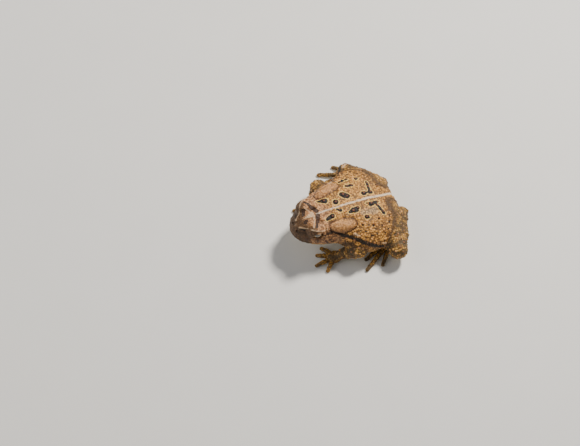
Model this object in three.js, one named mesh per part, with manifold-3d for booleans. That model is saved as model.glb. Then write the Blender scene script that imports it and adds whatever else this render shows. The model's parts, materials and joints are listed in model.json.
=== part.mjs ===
// An American toad sitting still, life size, in millimetres: +X is forward, +Y is the toad's left, +Z is up.
// The body is modelled whole as rounded forms that blend at the joints, then parted by thin cuts into its named parts.
import * as THREE from "three";
import { mergeVertices } from "three/addons/utils/BufferGeometryUtils.js";
import Module from "manifold-3d";

const wasm = await Module();
wasm.setup();

// Driving sizes.
const SNOUT_TO_VENT = 65;
const HEAD_WIDTH = 0.43 * SNOUT_TO_VENT;
const BODY_WIDTH = 0.72 * SNOUT_TO_VENT;
const HEAD_HEIGHT = 0.415 * SNOUT_TO_VENT;
const EYE_RADIUS = 0.05 * SNOUT_TO_VENT;
const GAP = 0.45;
const FLOOR_Z = 0;

// Cell sizes of the surface grid, finest where the forms are smallest.
const CELL = { torso: 1.7, head: 1, gland: 1.2, limb: 2, paw: 1.4, digit: 1 };

// Largest distance by which the surface may be flattened to save triangles, as a share of the cell.
const FLATNESS = 0.17;

// Depths over which neighbouring forms run into each other.
const BLEND = { neck: 5, gland: 1.1, shoulder: 2.6, elbow: 1.2, wrist: 1.2, hip: 4.5, knee: 1.4, heel: 1.2, digit: 0.7 };

// A form is a signed distance function with the box that holds it.
const form = (distance, lo, hi) => ({ distance, lo, hi });

// A ball stretched to three radii, turned by yaw about Z and then tilted by pitch about its own Y, in degrees.
function egg(centre, radii, yaw = 0, pitch = 0) {
  const turn = new THREE.Matrix4().makeRotationFromEuler(
    new THREE.Euler(0, THREE.MathUtils.degToRad(pitch), THREE.MathUtils.degToRad(yaw), "ZYX"),
  );
  const m = turn.clone().transpose().elements;
  const [a, b, c] = radii;
  const reach = Math.max(a, b, c);
  return form(
    (x, y, z) => {
      const dx = x - centre[0];
      const dy = y - centre[1];
      const dz = z - centre[2];
      const u = m[0] * dx + m[4] * dy + m[8] * dz;
      const v = m[1] * dx + m[5] * dy + m[9] * dz;
      const w = m[2] * dx + m[6] * dy + m[10] * dz;
      const near = Math.hypot(u / a, v / b, w / c);
      const slope = Math.hypot(u / (a * a), v / (b * b), w / (c * c));
      return slope < 1e-9 ? -Math.min(a, b, c) : (near * (near - 1)) / slope;
    },
    centre.map((v) => v - reach),
    centre.map((v) => v + reach),
  );
}

// A rounded rod whose radius runs from one end's to the other's.
function rod(from, to, fromRadius, toRadius) {
  const axis = to.map((v, i) => v - from[i]);
  const lengthSquared = axis[0] ** 2 + axis[1] ** 2 + axis[2] ** 2;
  const reach = Math.max(fromRadius, toRadius);
  return form(
    (x, y, z) => {
      const dx = x - from[0];
      const dy = y - from[1];
      const dz = z - from[2];
      const along = (dx * axis[0] + dy * axis[1] + dz * axis[2]) / lengthSquared;
      const t = Math.min(1, Math.max(0, along));
      const gone = Math.hypot(dx - t * axis[0], dy - t * axis[1], dz - t * axis[2]);
      return gone - (fromRadius + (toRadius - fromRadius) * t);
    },
    from.map((v, i) => Math.min(v, to[i]) - reach),
    from.map((v, i) => Math.max(v, to[i]) + reach),
  );
}

const smoothLeast = (a, b, k) => {
  const h = Math.max(k - Math.abs(a - b), 0) / k;
  return Math.min(a, b) - h * h * k * 0.25;
};
const smoothMost = (a, b, k) => -smoothLeast(-a, -b, k);

const least = (...values) => Math.min(...values);
const boxOf = (forms) => [
  [0, 1, 2].map((i) => least(...forms.map((f) => f.lo[i]))),
  [0, 1, 2].map((i) => -least(...forms.map((f) => -f.hi[i]))),
];

// Several forms run into one another over the depth k.
function blend(k, ...forms) {
  const [lo, hi] = boxOf(forms);
  return form((x, y, z) => forms.reduce((d, f) => smoothLeast(d, f.distance(x, y, z), k), 1e3), lo, hi);
}

// A form with others carved out of it, the edge rounded over the depth k.
function carve(k, body, ...cutters) {
  const distance = (x, y, z) =>
    cutters.reduce((d, f) => smoothMost(d, -f.distance(x, y, z), k), body.distance(x, y, z));
  return form(distance, body.lo, body.hi);
}

const SIDES = { left: 1, right: -1 };
const onSide = (side, [x, y, z]) => [x, SIDES[side] * y, z];
const bothSides = (make) => Object.keys(SIDES).map(make);

// Torso: broad, puffed and low, its back falling from the shoulders to the rump. The belly lolls a little to the left.
const BODY_HALF = BODY_WIDTH / 2;
const BELLY_Z = 12;
const LOLL = 2.4;
function torsoForm() {
  const shoulders = bothSides((side) => egg(onSide(side, [4.5, 7, 17.4]), [10, 9.5, 7.6]));
  const flanks = Object.values(SIDES).map((sign) =>
    egg([-9, LOLL + sign * (BODY_HALF - 12.9), 10.8], [15, 12.6, 9.8], 0, -6),
  );
  return blend(
    5,
    egg([6, 0, 16.4], [13, 13.5, 10.2], 0, -3),
    egg([-6, LOLL, BELLY_Z + 0.3], [17, BODY_HALF - 0.6, BELLY_Z - 0.2], 0, -9),
    egg([-18, LOLL / 2, 8.6], [10.8, 15, 8.2], 0, -6),
    ...shoulders,
    ...flanks,
  );
}

// Head and jaw: a broad blunt wedge with raised lids, bony crests and a long curved mouth between thick lips.
const HEAD_HALF = HEAD_WIDTH / 2;
const SNOUT_X = 32;
const MOUTH = { snoutZ: 17.4, angleZ: 14.9, angleX: 9.5 };
const LIP = { swell: 0.3, height: 1.3 };
const EYE = [20.8, 8.3, 24];
const EYE_GAP = 0.3;
const LID = { centre: [20.4, 7.5, 23.8], radii: [5.6, 4.7, 4.7] };
const LID_OPENING = { centre: [21.4, 12.3, 23.6], radii: [3.5, 3.5, 2.2], yaw: -12 };
const EAR = { from: [14.2, 40, 19.4], radius: 1.9, rim: 0.45, sunk: 0.15 };
const NOSTRIL = { centre: [29.7, 2.6, 21.7], radius: 0.6 };
const CREST = {
  radius: 0.95,
  front: [24.6, 3.6, 25.4],
  inner: [16.2, 4.4, 26.9],
  outer: [15, 10, 25.4],
  snout: [28.6, 2.5, 23.4],
};

// Height of the line where the lips meet.
const mouthZ = (x) => {
  const share = Math.min(1, Math.max(0, (x - MOUTH.angleX) / (SNOUT_X - MOUTH.angleX)));
  return MOUTH.angleZ + (MOUTH.snoutZ - MOUTH.angleZ) * share ** 1.6;
};

function headForm() {
  const skull = blend(
    3,
    egg([15, 0, 19], [13.5, HEAD_HALF - 0.6, HEAD_HEIGHT - 19.4]),
    egg([22, 0, 18.7], [SNOUT_X - 22, 9.4, 5.4]),
    egg([22.5, 0, 22.2], [7.2, 6.2, 3.9], 0, 14),
    ...bothSides((side) => egg(onSide(side, [14, 6.8, 18.2]), [10.5, 6.3, 5.4])),
    egg([14.5, 0, 16], [13.6, HEAD_HALF - 0.9, 5.6]),
    egg([21.6, 0, 16.4], [SNOUT_X - 22, 9, 3.9]),
    egg([12.5, 0, 12.8], [10, 11.2, 6.2]),
  );
  const lids = bothSides((side) => egg(onSide(side, LID.centre), LID.radii));
  const crests = bothSides((side) =>
    blend(
      0.5,
      rod(onSide(side, CREST.front), onSide(side, CREST.inner), 0.7, CREST.radius),
      rod(onSide(side, CREST.inner), onSide(side, CREST.outer), CREST.radius, 0.85),
      rod(onSide(side, CREST.front), onSide(side, CREST.snout), 0.75, 0.6),
    ),
  );
  const covered = blend(0.9, blend(1.3, skull, ...lids), ...crests);
  const openings = bothSides((side) =>
    egg(onSide(side, LID_OPENING.centre), LID_OPENING.radii, SIDES[side] * LID_OPENING.yaw),
  );
  const carved = carve(0.5, covered, ...openings);
  const swell = (x, z) => LIP.swell * Math.exp(-(((z - mouthZ(x)) / LIP.height) ** 2));
  return form((x, y, z) => carved.distance(x, y, z) - swell(x, z), carved.lo, carved.hi);
}

// Parotoid gland: a long kidney behind each eye, over the shoulder.
const GLAND = { centre: [6.3, 10.9, 23.9], radii: [7.8, 3.9, 3.1], yaw: 12, pitch: -7 };
const glandForm = (side) =>
  egg(onSide(side, GLAND.centre), GLAND.radii, -SIDES[side] * GLAND.yaw, GLAND.pitch);

// Limbs: their joints, with the radius of the flesh at each. The right arm is drawn forward with its hand turned in,
// and the left knee stands out further than the right one.
const ARM = {
  shoulder: [5.5, 11, 15],
  elbow: { left: [2.4, 22.2, 10.6], right: [6.6, 20, 11] },
  wrist: { left: [11.8, 18.2, 4.2], right: [12.6, 15.6, 4.2] },
  palm: { left: [14.4, 17.4, 2], right: [14.6, 14.2, 2] },
  handTurn: { left: 0, right: 16 },
  radii: { shoulder: 5.4, elbow: 3.9, forearm: 4.8, wrist: 2.5 },
};
const LEG = {
  hip: [-20, 8, 9.6],
  knee: { left: [-18, 30.8, 8.6], right: [-11.4, 22.8, 9.2] },
  heel: { left: [-29.6, 10.4, 5.8], right: [-27, 10.4, 5.8] },
  ankle: [-19.5, 19.6, 2.7],
  sole: [-15.6, 22, 1.8],
  radii: { hip: 8, knee: 5.1, shank: 4.1, heel: 3.4, tarsus: 2.6, ankle: 2.5 },
};

// Each digit is a root, a tip and a girth, given for the left side. The knuckle between them is lifted off the floor.
const FINGERS = [
  { root: [15.2, 15], tip: [18.6, 9.4], girth: 1.35 },
  { root: [16.8, 15.9], tip: [22.6, 12.2], girth: 1.25 },
  { root: [17.4, 17.6], tip: [25.4, 17.6], girth: 1.25 },
  { root: [16.4, 19.2], tip: [21.2, 23], girth: 1.2 },
];
const TOES = [
  { root: [-13.4, 19.4], tip: [-9, 17.8], girth: 1.2 },
  { root: [-12.4, 20.8], tip: [-4.8, 21.4], girth: 1.25 },
  { root: [-12, 22.6], tip: [-0.9, 25.8], girth: 1.3 },
  { root: [-12.6, 24.4], tip: [1.2, 31.6], girth: 1.3 },
  { root: [-14.8, 25.4], tip: [-7.8, 32.4], girth: 1.25 },
];
const DIGIT = { rootZ: 1.7, knuckleZ: 1.9, tipZ: 0.85, knuckleAt: 0.45, tipShare: 0.72 };

const upperArmForm = (side) =>
  rod(onSide(side, ARM.shoulder), onSide(side, ARM.elbow[side]), ARM.radii.shoulder, ARM.radii.elbow);
const forearmForm = (side) =>
  rod(onSide(side, ARM.elbow[side]), onSide(side, ARM.wrist[side]), ARM.radii.forearm, ARM.radii.wrist);
const handForm = (side) => egg(onSide(side, ARM.palm[side]), [4, 3.5, 2.3], -SIDES[side] * 15);
const thighForm = (side) =>
  rod(onSide(side, LEG.hip), onSide(side, LEG.knee[side]), LEG.radii.hip, LEG.radii.knee);
const shankForm = (side) => {
  const knee = LEG.knee[side];
  const calf = knee.map((v, i) => v + 0.4 * (LEG.heel[side][i] - v));
  return blend(
    2,
    rod(onSide(side, knee), onSide(side, LEG.heel[side]), LEG.radii.shank, LEG.radii.heel),
    egg(onSide(side, calf), [4.8, 4.8, 4.5]),
  );
};
const footForm = (side) =>
  blend(
    1.5,
    rod(onSide(side, LEG.heel[side]), onSide(side, LEG.ankle), LEG.radii.tarsus, LEG.radii.ankle),
    egg(onSide(side, LEG.sole), [5, 4.3, 2.2], SIDES[side] * 30),
  );

// A finger of the left hand moved to the side's own palm and turned inward with it.
function onHand(side, { root, tip, girth }) {
  const turn = THREE.MathUtils.degToRad(-ARM.handTurn[side]);
  const moved = ([x, y]) => {
    const away = new THREE.Vector2(x - ARM.palm.left[0], y - ARM.palm.left[1]);
    const place = away.rotateAround(new THREE.Vector2(), turn);
    return [place.x + ARM.palm[side][0], place.y + ARM.palm[side][1]];
  };
  return { root: moved(root), tip: moved(tip), girth };
}

function digitForm(side, { root, tip, girth }) {
  const knuckle = root.map((v, i) => v + DIGIT.knuckleAt * (tip[i] - v));
  const points = [
    [...root, DIGIT.rootZ],
    [...knuckle, DIGIT.knuckleZ],
    [...tip, DIGIT.tipZ],
  ].map((p) => onSide(side, p));
  return blend(
    0.4,
    rod(points[0], points[1], girth, girth * 0.86),
    rod(points[1], points[2], girth * 0.86, girth * DIGIT.tipShare),
  );
}

// Every part by name, and every joint where two parts run into each other.
const parts = new Map();
const joints = [];
const addPart = (name, shape, cell, colour) => parts.set(name, { shape, cell, colour });
const addJoint = (a, b, depth) => joints.push([a, b, depth]);

const COLOUR = { back: 0x9a7748, head: 0xb08a62, flank: 0x8f7440, limb: 0x97793f, throat: 0xb9a273, eye: 0x1b140c };

addPart("torso", torsoForm(), CELL.torso, COLOUR.back);
addPart("head", headForm(), CELL.head, COLOUR.head);
addJoint("torso", "head", BLEND.neck);

for (const side of Object.keys(SIDES)) {
  const name = (part) => `${part}_${side}`;
  addPart(name("parotoid"), glandForm(side), CELL.gland, COLOUR.head);
  addPart(name("upper_arm"), upperArmForm(side), CELL.limb, COLOUR.limb);
  addPart(name("forearm"), forearmForm(side), CELL.limb, COLOUR.limb);
  addPart(name("hand"), handForm(side), CELL.paw, COLOUR.limb);
  addPart(name("thigh"), thighForm(side), CELL.limb, COLOUR.limb);
  addPart(name("shank"), shankForm(side), CELL.limb, COLOUR.limb);
  addPart(name("foot"), footForm(side), CELL.paw, COLOUR.limb);
  addJoint("torso", name("parotoid"), BLEND.gland);
  addJoint("torso", name("upper_arm"), BLEND.shoulder);
  addJoint(name("upper_arm"), name("forearm"), BLEND.elbow);
  addJoint(name("forearm"), name("hand"), BLEND.wrist);
  addJoint("torso", name("thigh"), BLEND.hip);
  addJoint(name("thigh"), name("shank"), BLEND.knee);
  addJoint(name("shank"), name("foot"), BLEND.heel);
  const fingers = FINGERS.map((finger) => onHand(side, finger));
  for (const [kind, palm, digits] of [["finger", "hand", fingers], ["toe", "foot", TOES]]) {
    digits.forEach((digit, i) => {
      const own = `${kind}_${i + 1}_${side}`;
      addPart(own, digitForm(side, digit), CELL.digit, COLOUR.limb);
      addJoint(name(palm), own, BLEND.digit);
    });
  }
}

// Distance to one part of the body: its own form with the fillets of its joints, less what lies nearer another part.
function partDistance(name) {
  const own = parts.get(name).shape;
  const [lo, hi] = [own.lo, own.hi];
  const meets = ([, other]) => [0, 1, 2].every((i) => other.shape.lo[i] < hi[i] + 3 && other.shape.hi[i] > lo[i] - 3);
  const fillets = joints.filter(([a, b]) => a === name || b === name);
  const beside = [...parts].filter(([other, entry]) => other !== name && meets([other, entry]));
  const partner = fillets.map(([a, b, depth]) => [parts.get(a === name ? b : a).shape, depth]);
  const sockets = bothSides((side) => egg(onSide(side, EYE), [EYE_RADIUS, EYE_RADIUS, EYE_RADIUS]));
  return (x, y, z) => {
    const mine = own.distance(x, y, z);
    let d = mine;
    for (const [shape, depth] of partner) {
      d = Math.min(d, smoothLeast(mine, shape.distance(x, y, z), depth));
    }
    for (const [, other] of beside) {
      d = Math.max(d, (mine - other.shape.distance(x, y, z) + GAP) / 2);
    }
    if (name === "head") {
      for (const socket of sockets) d = Math.max(d, EYE_GAP - socket.distance(x, y, z));
    }
    return Math.max(d, FLOOR_Z - z);
  };
}

// Larger warts. Each of the back's is a place seen from above with its radius, one or two to each dark spot.
const BACK_WARTS = [
  [10.2, -5.4, 1.3], [4.7, -2.1, 1.3], [-1, -5, 1.5], [-2.7, -3.4, 1.1], [-12.3, -2.3, 1.2], [-16.2, -2.3, 1.2],
  [-16.9, -7.8, 1.1], [-5.5, -9.7, 1.1], [-8.1, -9.3, 1.1], [-3.4, -13.9, 1.1], [-7.2, -14.2, 1.1], [9.9, 4.9, 1.2],
  [5, 3.1, 1], [-2, 6, 1.5], [-5.2, 5, 1.1], [-13.5, 4.8, 1.3], [-17.8, 11, 1.1], [-7.8, 11.5, 1.2],
  [-4.1, 14.3, 1.1], [-9.6, 16.4, 1.1], [-13.9, 13.9, 1], [-21.6, 5.4, 1.1], [-21.4, -5, 1.1], [-12.4, -12.6, 1.1],
];
// A row of warts along each flank, from behind the gland down to the groin.
const FLANK_ROW = { count: 8, from: [2.6, 19.8], to: [-14.5, 13.4], radius: 1.05 };
// Warts on the limbs, spaced along each and around its outer side.
const LIMB_WARTS = { thigh: [6, 1], shank: [6, 0.95], forearm: [5, 0.85] };
const WART_RISE = 0.62;
const WART_SINK = 0.12;
const CLEAR_OF_NEIGHBOURS = 0.6;

// Six tetrahedra fill a grid cell, all around its long diagonal. Corner numbers hold X, Y and Z as bits 1, 2 and 4.
const TETRAHEDRA = [[0, 1, 3, 7], [0, 3, 2, 7], [0, 2, 6, 7], [0, 6, 4, 7], [0, 4, 5, 7], [0, 5, 1, 7]];
// Orders of a tetrahedron's corners that keep its handedness, to bring any one or two of them to the front.
const ORDERS = [
  [0, 1, 2, 3], [1, 0, 3, 2], [2, 3, 0, 1], [3, 2, 1, 0],
  [0, 2, 3, 1], [0, 3, 1, 2], [1, 2, 0, 3], [1, 3, 2, 0],
];
const NEAREST_TO_CORNER = 0.04;

// The surface where a distance function is zero, cut through a grid of tetrahedra so that it always closes.
function surface(distance, lo, hi, cell) {
  const start = lo.map((v) => v - 1.5 * cell);
  const [nx, ny, nz] = lo.map((v, i) => Math.ceil((hi[i] - v) / cell) + 4);
  const at = (i, j, k) => i + nx * (j + ny * k);
  const field = new Float32Array(nx * ny * nz);
  const nearest = NEAREST_TO_CORNER * cell;
  for (let k = 0; k < nz; k++)
    for (let j = 0; j < ny; j++)
      for (let i = 0; i < nx; i++) {
        const d = distance(start[0] + i * cell, start[1] + j * cell, start[2] + k * cell);
        field[at(i, j, k)] = Math.abs(d) < nearest ? Math.sign(d || 1) * nearest : d;
      }

  const positions = [];
  const vertices = new Map();
  const ahead = Array.from({ length: 8 }, (_, c) => at(c & 1, (c >> 1) & 1, (c >> 2) & 1));
  const vertexBetween = (here, a, b) => {
    const [from, to] = [here + ahead[Math.min(a, b)], here + ahead[Math.max(a, b)]];
    const key = from * 8 + Math.abs(b - a);
    if (!vertices.has(key)) {
      vertices.set(key, positions.length / 3);
      const t = field[from] / (field[from] - field[to]);
      const place = (index) => [index % nx, Math.floor(index / nx) % ny, Math.floor(index / (nx * ny))];
      const [p, q] = [place(from), place(to)];
      p.forEach((v, n) => positions.push(start[n] + (v + t * (q[n] - v)) * cell));
    }
    return vertices.get(key);
  };

  const triangles = [];
  for (let k = 0; k < nz - 1; k++)
    for (let j = 0; j < ny - 1; j++)
      for (let i = 0; i < nx - 1; i++) {
        const here = at(i, j, k);
        for (const corners of TETRAHEDRA) {
          const inside = corners.map((c) => field[here + ahead[c]] < 0);
          const count = inside.filter(Boolean).length;
          if (count === 0 || count === 4) continue;
          const first = count < 3;
          const lead = first ? count : 1;
          const order = ORDERS.find((o) => o.slice(0, lead).every((n) => inside[n] === first));
          const [p, q, r, s] = order.map((n) => corners[n]);
          const pairs = lead === 1 ? [[p, q], [p, r], [p, s]] : [[p, r], [p, s], [q, s], [q, r]];
          const ring = pairs.map(([a, b]) => vertexBetween(here, a, b));
          if (!first) ring.reverse();
          triangles.push(ring[0], ring[1], ring[2]);
          if (lead === 2) triangles.push(ring[0], ring[2], ring[3]);
        }
      }
  return { positions: new Float32Array(positions), triangles: new Uint32Array(triangles) };
}

const solidFrom = (positions, triangles) =>
  new wasm.Manifold(new wasm.Mesh({ numProp: 3, vertProperties: positions, triVerts: triangles }));

// A solid from a three.js geometry that is closed once its vertices are merged.
function solidOf(geometry) {
  const bare = geometry.clone();
  bare.deleteAttribute("normal");
  bare.deleteAttribute("uv");
  const merged = mergeVertices(bare, 1e-4);
  return solidFrom(merged.getAttribute("position").array, new Uint32Array(merged.index.array));
}

const largest = (solid) => solid.decompose().reduce((a, b) => (b.volume() > a.volume() ? b : a));

// True if no two vertices lie so close together that a written file would join them.
function verticesApart(solid) {
  const { vertProperties: p, numVert } = solid.getMesh();
  const places = new Set();
  for (let i = 0; i < numVert; i++) {
    places.add([p[3 * i], p[3 * i + 1], p[3 * i + 2]].map((v) => Math.round(v / 0.002)).join());
  }
  return places.size === numVert;
}

// Solid of one part. Where the surface touches itself, a slightly finer grid is tried.
function partSolid(name) {
  const { shape, cell } = parts.get(name);
  const distance = partDistance(name);
  for (let attempt = 0; attempt < 12; attempt++) {
    const { positions, triangles } = surface(distance, shape.lo, shape.hi, cell * (1 - 0.013 * attempt));
    const solid = closedSolid(positions, triangles, FLATNESS * cell);
    if (solid && verticesApart(solid)) return solid;
  }
  throw new Error(`${name} doesn't come out as one closed surface`);
}

function closedSolid(positions, triangles, flatness) {
  try {
    return largest(solidFrom(positions, triangles).simplify(flatness));
  } catch {
    return null;
  }
}

// The place where a straight way from outside first meets a part, and the way the surface faces there.
function landOn(distance, from, way) {
  const p = [...from];
  for (let i = 0; i < 200; i++) {
    const d = distance(...p);
    if (Math.abs(d) < 0.01) break;
    p.forEach((v, n) => (p[n] = v + way[n] * d * 0.6));
  }
  if (Math.abs(distance(...p)) > 0.05) return null;
  const h = 0.05;
  const facing = new THREE.Vector3(
    ...[0, 1, 2].map((n) => distance(...p.map((v, m) => v + (m === n ? h : 0))) - distance(...p)),
  ).normalize();
  return { place: new THREE.Vector3(...p), facing };
}

// A low dome standing on the surface, or null where it would reach a neighbouring part.
function wartSolid(name, from, way, radius) {
  const spot = landOn(partDistance(name), from, way);
  if (!spot) return null;
  const { place, facing } = spot;
  const clear = ([other, { shape }]) =>
    other === name || shape.distance(...place) > radius + CLEAR_OF_NEIGHBOURS;
  if (![...parts].every(clear)) return null;
  const dome = new THREE.IcosahedronGeometry(radius, 0).scale(1, 1, WART_RISE);
  dome.applyQuaternion(new THREE.Quaternion().setFromUnitVectors(new THREE.Vector3(0, 0, 1), facing));
  const centre = place.clone().addScaledVector(facing, -WART_SINK * radius);
  return solidOf(dome.translate(...centre));
}

// The ring around each ear drum and the pit of each nostril, worked into the head.
function withEarsAndNostrils(head) {
  const distance = partDistance("head");
  let worked = head;
  for (const side of Object.keys(SIDES)) {
    const { place, facing } = landOn(distance, onSide(side, EAR.from), [0, -SIDES[side], 0]);
    place.addScaledVector(facing, -EAR.sunk);
    const ring = new THREE.TorusGeometry(EAR.radius, EAR.rim, 5, 12);
    ring.applyQuaternion(new THREE.Quaternion().setFromUnitVectors(new THREE.Vector3(0, 0, 1), facing));
    const pit = new THREE.IcosahedronGeometry(NOSTRIL.radius, 0).translate(...onSide(side, NOSTRIL.centre));
    worked = worked.add(solidOf(ring.translate(...place))).subtract(solidOf(pit));
  }
  return worked;
}

// Everything below the mouth line moved up by lift, as a block deeper than the head is wide.
function belowMouth(lift) {
  const [back, front, depth, bottom, steps] = [0, SNOUT_X + 4, 2 * HEAD_WIDTH, -5, 18];
  const line = Array.from({ length: steps + 1 }, (_, i) => back + ((front - back) * i) / steps);
  const outline = [...line.map((x) => [x, mouthZ(x) + lift]), [front, bottom], [back, bottom]];
  const shape = new THREE.Shape(outline.map(([x, z]) => new THREE.Vector2(x, z)));
  const block = new THREE.ExtrudeGeometry(shape, { depth, bevelEnabled: false });
  return solidOf(block.rotateX(Math.PI / 2).translate(0, depth / 2, 0));
}

// Directions in which the warts of each part are set, from points well outside the body.
function* wartPlaces(name) {
  const side = name.endsWith("right") ? -1 : 1;
  const limb = name.replace(/_(left|right)$/, "");
  if (name === "torso") {
    for (const [x, y, radius] of BACK_WARTS) yield [[x, y, 45], [0, 0, -1], radius];
    for (const flank of [1, -1])
      for (let i = 0; i < FLANK_ROW.count; i++) {
        const [x, z] = FLANK_ROW.from.map((v, n) => v + ((FLANK_ROW.to[n] - v) * i) / (FLANK_ROW.count - 1));
        yield [[x, 45 * flank, z], [0, -flank, 0], FLANK_ROW.radius];
      }
  } else if (limb in LIMB_WARTS) {
    const [count, radius] = LIMB_WARTS[limb];
    const [root, end] = limbEnds(limb, side > 0 ? "left" : "right");
    for (let i = 0; i < count; i++) {
      const t = (i + 0.5) / count;
      const turn = THREE.MathUtils.degToRad(35 + (i % 2) * 38);
      const out = [0, side * Math.cos(turn), Math.sin(turn)];
      const on = root.map((v, n) => v + t * (end[n] - v));
      yield [on.map((v, n) => v + 30 * out[n]), out.map((v) => -v), radius];
    }
  }
}

function limbEnds(limb, side) {
  const ends = {
    thigh: [LEG.hip, LEG.knee[side]],
    shank: [LEG.knee[side], LEG.heel[side]],
    forearm: [ARM.elbow[side], ARM.wrist[side]],
  };
  return ends[limb].map((p) => onSide(side, p));
}

function withWarts(name, solid) {
  let whole = solid;
  for (const [from, way, radius] of wartPlaces(name)) {
    const wart = wartSolid(name, from, way, radius);
    if (wart) whole = whole.add(wart);
  }
  return largest(whole);
}

function meshOf(name, solid, colour, roughness = 0.75) {
  const { vertProperties, triVerts } = solid.getMesh();
  const geometry = new THREE.BufferGeometry();
  geometry.setAttribute("position", new THREE.BufferAttribute(vertProperties, 3));
  geometry.setIndex(new THREE.BufferAttribute(triVerts, 1));
  geometry.computeVertexNormals();
  const material = new THREE.MeshStandardMaterial({ color: colour, roughness, metalness: 0 });
  const mesh = new THREE.Mesh(geometry, material);
  mesh.name = name;
  return mesh;
}

const toad = new THREE.Group();
toad.name = "american_toad";
for (const [name, { colour }] of parts) {
  const solid = withWarts(name, partSolid(name));
  if (name !== "head") {
    toad.add(meshOf(name, solid, colour));
    continue;
  }
  const worked = withEarsAndNostrils(solid);
  toad.add(meshOf("head", largest(worked.subtract(belowMouth(GAP / 2))), COLOUR.head));
  toad.add(meshOf("lower_jaw", largest(worked.intersect(belowMouth(-GAP / 2))), COLOUR.throat));
}

for (const side of Object.keys(SIDES)) {
  const ball = solidOf(new THREE.SphereGeometry(EYE_RADIUS, 14, 9));
  toad.add(meshOf(`eye_${side}`, ball.translate(onSide(side, EYE)), COLOUR.eye, 0.2));
}

// The origin is moved to the middle of the floor under the toad.
const box = new THREE.Box3().setFromObject(toad);
const middle = box.getCenter(new THREE.Vector3());
toad.position.set(-middle.x, -middle.y, -box.min.z);

export default toad;
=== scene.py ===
"""An American toad sitting still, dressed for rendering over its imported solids.

Lengths in the geometry part are millimetres in the toad's own modelling frame: +X forward, +Y left, +Z up.
One skin is drawn over the whole body from the same rounded forms as the solids. Warts, ridges, grooves and
nostrils are raised or sunk in it, and the places of its markings are stored on it for the material.
"""

import itertools
import json
import math

import bpy
import numpy as np
from mathutils import Matrix, Vector

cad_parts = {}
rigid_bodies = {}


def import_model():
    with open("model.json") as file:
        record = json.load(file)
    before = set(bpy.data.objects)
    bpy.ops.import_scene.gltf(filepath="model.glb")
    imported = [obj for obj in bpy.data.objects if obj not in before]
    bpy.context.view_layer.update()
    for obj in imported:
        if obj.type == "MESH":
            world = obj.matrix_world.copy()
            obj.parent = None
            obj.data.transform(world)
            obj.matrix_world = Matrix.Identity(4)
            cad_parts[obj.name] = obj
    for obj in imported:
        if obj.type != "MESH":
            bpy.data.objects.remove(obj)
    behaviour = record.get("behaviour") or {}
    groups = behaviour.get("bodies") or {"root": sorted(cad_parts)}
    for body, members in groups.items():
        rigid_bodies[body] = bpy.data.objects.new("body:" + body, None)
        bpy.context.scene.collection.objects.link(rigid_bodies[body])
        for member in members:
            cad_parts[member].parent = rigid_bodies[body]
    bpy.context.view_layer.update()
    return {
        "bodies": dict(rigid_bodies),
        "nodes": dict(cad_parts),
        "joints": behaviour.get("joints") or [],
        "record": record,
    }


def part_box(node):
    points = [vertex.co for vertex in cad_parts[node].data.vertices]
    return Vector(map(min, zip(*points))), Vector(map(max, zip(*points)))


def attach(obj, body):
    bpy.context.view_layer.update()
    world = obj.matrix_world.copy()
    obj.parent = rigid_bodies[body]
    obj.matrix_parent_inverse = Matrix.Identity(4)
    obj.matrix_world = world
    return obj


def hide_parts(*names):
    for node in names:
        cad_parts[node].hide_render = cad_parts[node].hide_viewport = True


# Driving sizes, the same as the solids'.
SNOUT_TO_VENT = 65.0
HEAD_HALF = 0.43 * SNOUT_TO_VENT / 2
BODY_HALF = 0.72 * SNOUT_TO_VENT / 2
HEAD_HEIGHT = 0.415 * SNOUT_TO_VENT
EYE_RADIUS = 0.05 * SNOUT_TO_VENT
BELLY_Z = 12.0
LOLL = 2.4
SNOUT_X = 32.0
MM = 0.001
SIDES = {"left": 1, "right": -1}

# The skin's surface cells: their width, how many make a block of the coarse search, and the room round them.
CELL = 0.2
BLOCK = 5
GRID_MARGIN = 2.0
# Half a cube's diagonal, and some to spare, for finding the blocks that the surface passes.
HALF_DIAGONAL = 0.87
BLOCK_SPARE = 0.8

# A distance out that is clear of the toad, and the one that is stored where no mark is near.
OUTSIDE = 45
FAR = 9.0

# Head. The lids' openings are a little taller than the solids', to show the eyes under their rims.
MOUTH = {"snout_z": 17.4, "angle_z": 14.9, "angle_x": 9.5}
LIP = {"swell": 0.3, "height": 1.3}
EYE = (20.8, 8.3, 24.0)
LID = {"centre": (20.4, 7.5, 23.8), "radii": (5.6, 4.7, 4.7)}
LID_OPENING = {"centre": (21.4, 12.3, 23.9), "radii": (3.6, 3.7, 2.4), "yaw": -12}
EAR = {"x": 14.2, "z": 19.4, "radius": 1.9}
NOSTRIL = {"y": 2.7, "z": 22.0, "radius": 0.45, "depth": 0.6}
CREST = {
    "radius": 0.95,
    "front": (24.6, 3.6, 25.4),
    "inner": (16.2, 4.4, 26.9),
    "outer": (15.0, 10.0, 25.4),
    "snout": (28.6, 2.5, 23.4),
}
GLAND = {"centre": (6.3, 10.9, 23.9), "radii": (7.8, 3.9, 3.1), "yaw": 12, "pitch": -7}
GROOVE = {"out": 0.5, "width": 0.45, "depth": 0.35}

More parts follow.
